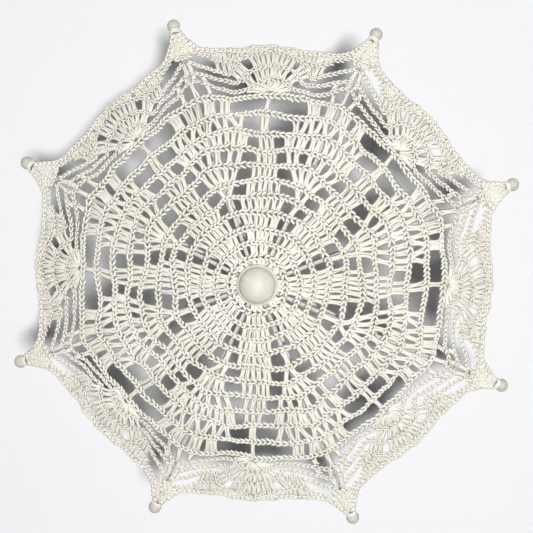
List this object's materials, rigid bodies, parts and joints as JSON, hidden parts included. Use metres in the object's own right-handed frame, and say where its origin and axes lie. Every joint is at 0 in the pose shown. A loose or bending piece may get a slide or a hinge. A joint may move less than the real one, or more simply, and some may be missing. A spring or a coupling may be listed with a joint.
{
  "type": "lace parasol",
  "caption": "Small open parasol: a domed crocheted cotton lace canopy over folding ribs with ball tips, stretchers, a sliding runner with spring catches, and a turned handle.",
  "frame": {"origin": "middle of the handle's flat lower end", "axes": "+Z along the shaft towards the cap; +X along rib 1"},
  "size_m": [0.3584, 0.3584, 0.3095],
  "materials": {
    "cotton_lace": "mercerised cotton yarn, soft sheen",
    "ivory": "satin",
    "enamelled_steel": "pale enamel, satin",
    "bright_steel": "bright",
    "painted_wood": "ivory paint over fine grain",
    "brass": "satin"
  },
  "bodies": {
    "shaft": {"shaft": "painted_wood", "stop_pin": "bright_steel", "crown_notch": "ivory", "crown_wire": "bright_steel", "canopy_centre": "cotton_lace", "finial_cap": "ivory", "handle": "painted_wood", "handle_ferrule": "brass"},
    "runner": {"runner_sleeve": "enamelled_steel", "runner_ring": "ivory"},
    "top_catch": {"top_catch": "bright_steel"},
    "bottom_catch": {"bottom_catch": "bright_steel"},
    "rib_1": {"rib_1": "enamelled_steel", "tip_1": "ivory", "rivet_1": "bright_steel", "canopy_sector_1": "cotton_lace"},
    "rib_2": {"rib_2": "enamelled_steel", "tip_2": "ivory", "rivet_2": "bright_steel", "canopy_sector_2": "cotton_lace"},
    "rib_3": {"rib_3": "enamelled_steel", "tip_3": "ivory", "rivet_3": "bright_steel", "canopy_sector_3": "cotton_lace"},
    "rib_4": {"rib_4": "enamelled_steel", "tip_4": "ivory", "rivet_4": "bright_steel", "canopy_sector_4": "cotton_lace"},
    "rib_5": {"rib_5": "enamelled_steel", "tip_5": "ivory", "rivet_5": "bright_steel", "canopy_sector_5": "cotton_lace"},
    "rib_6": {"rib_6": "enamelled_steel", "tip_6": "ivory", "rivet_6": "bright_steel", "canopy_sector_6": "cotton_lace"},
    "rib_7": {"rib_7": "enamelled_steel", "tip_7": "ivory", "rivet_7": "bright_steel", "canopy_sector_7": "cotton_lace"},
    "rib_8": {"rib_8": "enamelled_steel", "tip_8": "ivory", "rivet_8": "bright_steel", "canopy_sector_8": "cotton_lace"},
    "stretcher_1": {"stretcher_1": "enamelled_steel"},
    "stretcher_2": {"stretcher_2": "enamelled_steel"},
    "stretcher_3": {"stretcher_3": "enamelled_steel"},
    "stretcher_4": {"stretcher_4": "enamelled_steel"},
    "stretcher_5": {"stretcher_5": "enamelled_steel"},
    "stretcher_6": {"stretcher_6": "enamelled_steel"},
    "stretcher_7": {"stretcher_7": "enamelled_steel"},
    "stretcher_8": {"stretcher_8": "enamelled_steel"}
  },
  "joints": [
    {"name": "runner_slide", "type": "slide", "parent": "shaft", "child": "runner", "axis": [0, 0, -1], "range_m": [0, 0.1023], "deforming": ["canopy_sector_1", "canopy_sector_2", "canopy_sector_3", "canopy_sector_4", "canopy_sector_5", "canopy_sector_6", "canopy_sector_7", "canopy_sector_8", "top_catch", "bottom_catch"]},
    {"name": "rib_1_hinge", "type": "hinge", "parent": "shaft", "child": "rib_1", "pos_m": [0.008, 0, 0.296], "axis": [0, 1, 0], "range_deg": [0, 60.02]},
    {"name": "rib_2_hinge", "type": "hinge", "parent": "shaft", "child": "rib_2", "pos_m": [0.00566, 0.00566, 0.296], "axis": [-0.7071, 0.7071, 0], "range_deg": [0, 60.02]},
    {"name": "rib_3_hinge", "type": "hinge", "parent": "shaft", "child": "rib_3", "pos_m": [0, 0.008, 0.296], "axis": [-1, 0, 0], "range_deg": [0, 60.02]},
    {"name": "rib_4_hinge", "type": "hinge", "parent": "shaft", "child": "rib_4", "pos_m": [-0.00566, 0.00566, 0.296], "axis": [-0.7071, -0.7071, 0], "range_deg": [0, 60.02]},
    {"name": "rib_5_hinge", "type": "hinge", "parent": "shaft", "child": "rib_5", "pos_m": [-0.008, 0, 0.296], "axis": [0, -1, 0], "range_deg": [0, 60.02]},
    {"name": "rib_6_hinge", "type": "hinge", "parent": "shaft", "child": "rib_6", "pos_m": [-0.00566, -0.00566, 0.296], "axis": [0.7071, -0.7071, 0], "range_deg": [0, 60.02]},
    {"name": "rib_7_hinge", "type": "hinge", "parent": "shaft", "child": "rib_7", "pos_m": [0, -0.008, 0.296], "axis": [1, 0, 0], "range_deg": [0, 60.02]},
    {"name": "rib_8_hinge", "type": "hinge", "parent": "shaft", "child": "rib_8", "pos_m": [0.00566, -0.00566, 0.296], "axis": [0.7071, 0.7071, 0], "range_deg": [0, 60.02]},
    {"name": "stretcher_1_hinge", "type": "hinge", "parent": "rib_1", "child": "stretcher_1", "pos_m": [0.081, 0, 0.27186], "axis": [0, 1, 0], "range_deg": [-120.04, 0]},
    {"name": "stretcher_2_hinge", "type": "hinge", "parent": "rib_2", "child": "stretcher_2", "pos_m": [0.05728, 0.05728, 0.27186], "axis": [-0.7071, 0.7071, 0], "range_deg": [-120.04, 0]},
    {"name": "stretcher_3_hinge", "type": "hinge", "parent": "rib_3", "child": "stretcher_3", "pos_m": [0, 0.081, 0.27186], "axis": [-1, 0, 0], "range_deg": [-120.04, 0]},
    {"name": "stretcher_4_hinge", "type": "hinge", "parent": "rib_4", "child": "stretcher_4", "pos_m": [-0.05728, 0.05728, 0.27186], "axis": [-0.7071, -0.7071, 0], "range_deg": [-120.04, 0]},
    {"name": "stretcher_5_hinge", "type": "hinge", "parent": "rib_5", "child": "stretcher_5", "pos_m": [-0.081, 0, 0.27186], "axis": [0, -1, 0], "range_deg": [-120.04, 0]},
    {"name": "stretcher_6_hinge", "type": "hinge", "parent": "rib_6", "child": "stretcher_6", "pos_m": [-0.05728, -0.05728, 0.27186], "axis": [0.7071, -0.7071, 0], "range_deg": [-120.04, 0]},
    {"name": "stretcher_7_hinge", "type": "hinge", "parent": "rib_7", "child": "stretcher_7", "pos_m": [0, -0.081, 0.27186], "axis": [1, 0, 0], "range_deg": [-120.04, 0]},
    {"name": "stretcher_8_hinge", "type": "hinge", "parent": "rib_8", "child": "stretcher_8", "pos_m": [0.05728, -0.05728, 0.27186], "axis": [0.7071, 0.7071, 0], "range_deg": [-120.04, 0]},
    {"name": "top_catch_press", "type": "hinge", "parent": "shaft", "child": "top_catch", "pos_m": [0, 0, 0.20941], "axis": [-1, 0, 0], "range_deg": [0, 8], "stiffness_Nm_per_rad": 0.15},
    {"name": "bottom_catch_press", "type": "hinge", "parent": "shaft", "child": "bottom_catch", "pos_m": [0, 0, 0.14172], "axis": [1, 0, 0], "range_deg": [0, 8], "stiffness_Nm_per_rad": 0.15}
  ],
  "couplings": [
    {"joint": "rib_1_hinge", "follows": "runner_slide", "rad_per_m": 10.237},
    {"joint": "rib_2_hinge", "follows": "runner_slide", "rad_per_m": 10.237},
    {"joint": "rib_3_hinge", "follows": "runner_slide", "rad_per_m": 10.237},
    {"joint": "rib_4_hinge", "follows": "runner_slide", "rad_per_m": 10.237},
    {"joint": "rib_5_hinge", "follows": "runner_slide", "rad_per_m": 10.237},
    {"joint": "rib_6_hinge", "follows": "runner_slide", "rad_per_m": 10.237},
    {"joint": "rib_7_hinge", "follows": "runner_slide", "rad_per_m": 10.237},
    {"joint": "rib_8_hinge", "follows": "runner_slide", "rad_per_m": 10.237},
    {"joint": "stretcher_1_hinge", "follows": "runner_slide", "rad_per_m": -20.474},
    {"joint": "stretcher_2_hinge", "follows": "runner_slide", "rad_per_m": -20.474},
    {"joint": "stretcher_3_hinge", "follows": "runner_slide", "rad_per_m": -20.474},
    {"joint": "stretcher_4_hinge", "follows": "runner_slide", "rad_per_m": -20.474},
    {"joint": "stretcher_5_hinge", "follows": "runner_slide", "rad_per_m": -20.474},
    {"joint": "stretcher_6_hinge", "follows": "runner_slide", "rad_per_m": -20.474},
    {"joint": "stretcher_7_hinge", "follows": "runner_slide", "rad_per_m": -20.474},
    {"joint": "stretcher_8_hinge", "follows": "runner_slide", "rad_per_m": -20.474}
  ]
}
